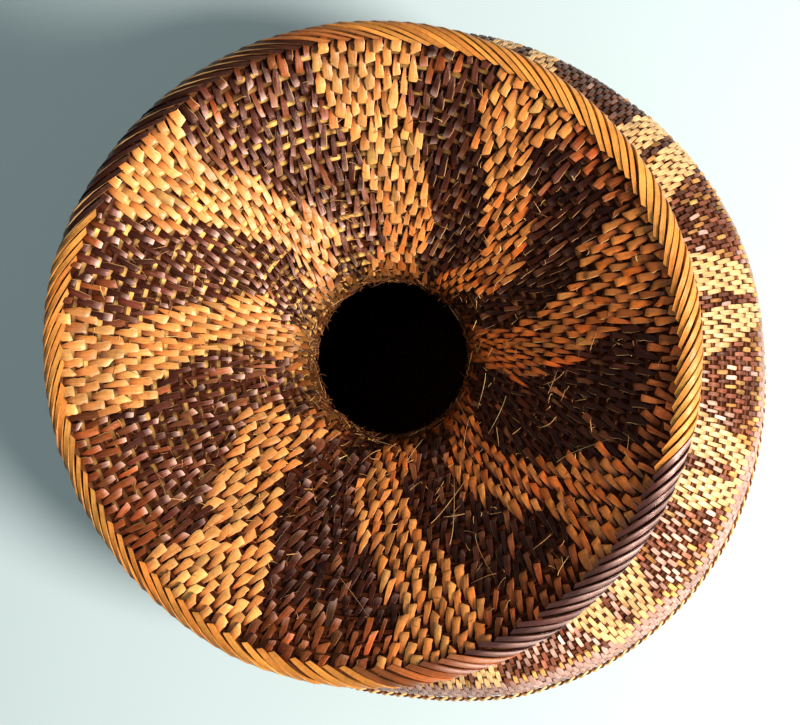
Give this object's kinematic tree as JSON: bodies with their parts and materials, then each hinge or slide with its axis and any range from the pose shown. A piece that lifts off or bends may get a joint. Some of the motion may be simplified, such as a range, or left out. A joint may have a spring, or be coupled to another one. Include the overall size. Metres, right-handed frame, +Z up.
{
  "type": "goblet basket",
  "caption": "Round-bellied woven jar basket with a narrow neck, a wide flared mouth with a folded strip border, and a flat base to stand on.",
  "frame": {"origin": "on the floor, under the middle of the base", "axes": "+Z up through the neck and the mouth; +X towards the right of the picture and +Y towards its top"},
  "size_m": [0.297, 0.296, 0.2346],
  "materials": {
    "natural_strip": "satin split cane, tan to orange",
    "black_strip": "satin split cane, dyed near black",
    "brown_strip": "satin split cane, dyed purple-brown",
    "mouth_weave": "woven splints in a swirl of tan and dark brown",
    "neck_weave": "woven splints, orange-brown",
    "shoulder_weave": "woven splints, tan trapezoids on brown",
    "belly_weave": "woven splints, pinkish brown",
    "lower_weave": "woven splints, brown",
    "base_weave": "woven splints, natural tan",
    "start_weave": "woven splints, natural tan",
    "hoop_cane": "peeled round cane",
    "wale_cane": "split cane, two strands twisted, tan and dark"
  },
  "bodies": {
    "root": {"base_start": "start_weave", "base_floor": "base_weave", "turn_up_wall": "lower_weave", "lower_wall": "lower_weave", "belly_wall": "belly_weave", "belly_wale": "wale_cane", "shoulder_wall": "shoulder_weave", "collar_wall": "shoulder_weave", "neck_wall": "neck_weave", "mouth_wall": "mouth_weave", "rim_hoop": "hoop_cane", "border_strips_natural_1": "natural_strip", "border_strips_natural_2": "natural_strip", "border_strips_natural_3": "natural_strip", "border_strips_natural_4": "natural_strip", "border_strips_natural_5": "natural_strip", "border_strips_natural_6": "natural_strip", "border_strips_natural_7": "natural_strip", "border_strips_natural_8": "natural_strip", "border_strips_black_1": "black_strip", "border_strips_black_2": "black_strip", "border_strips_brown_1": "brown_strip", "border_strips_brown_2": "brown_strip"}
  },
  "joints": []
}
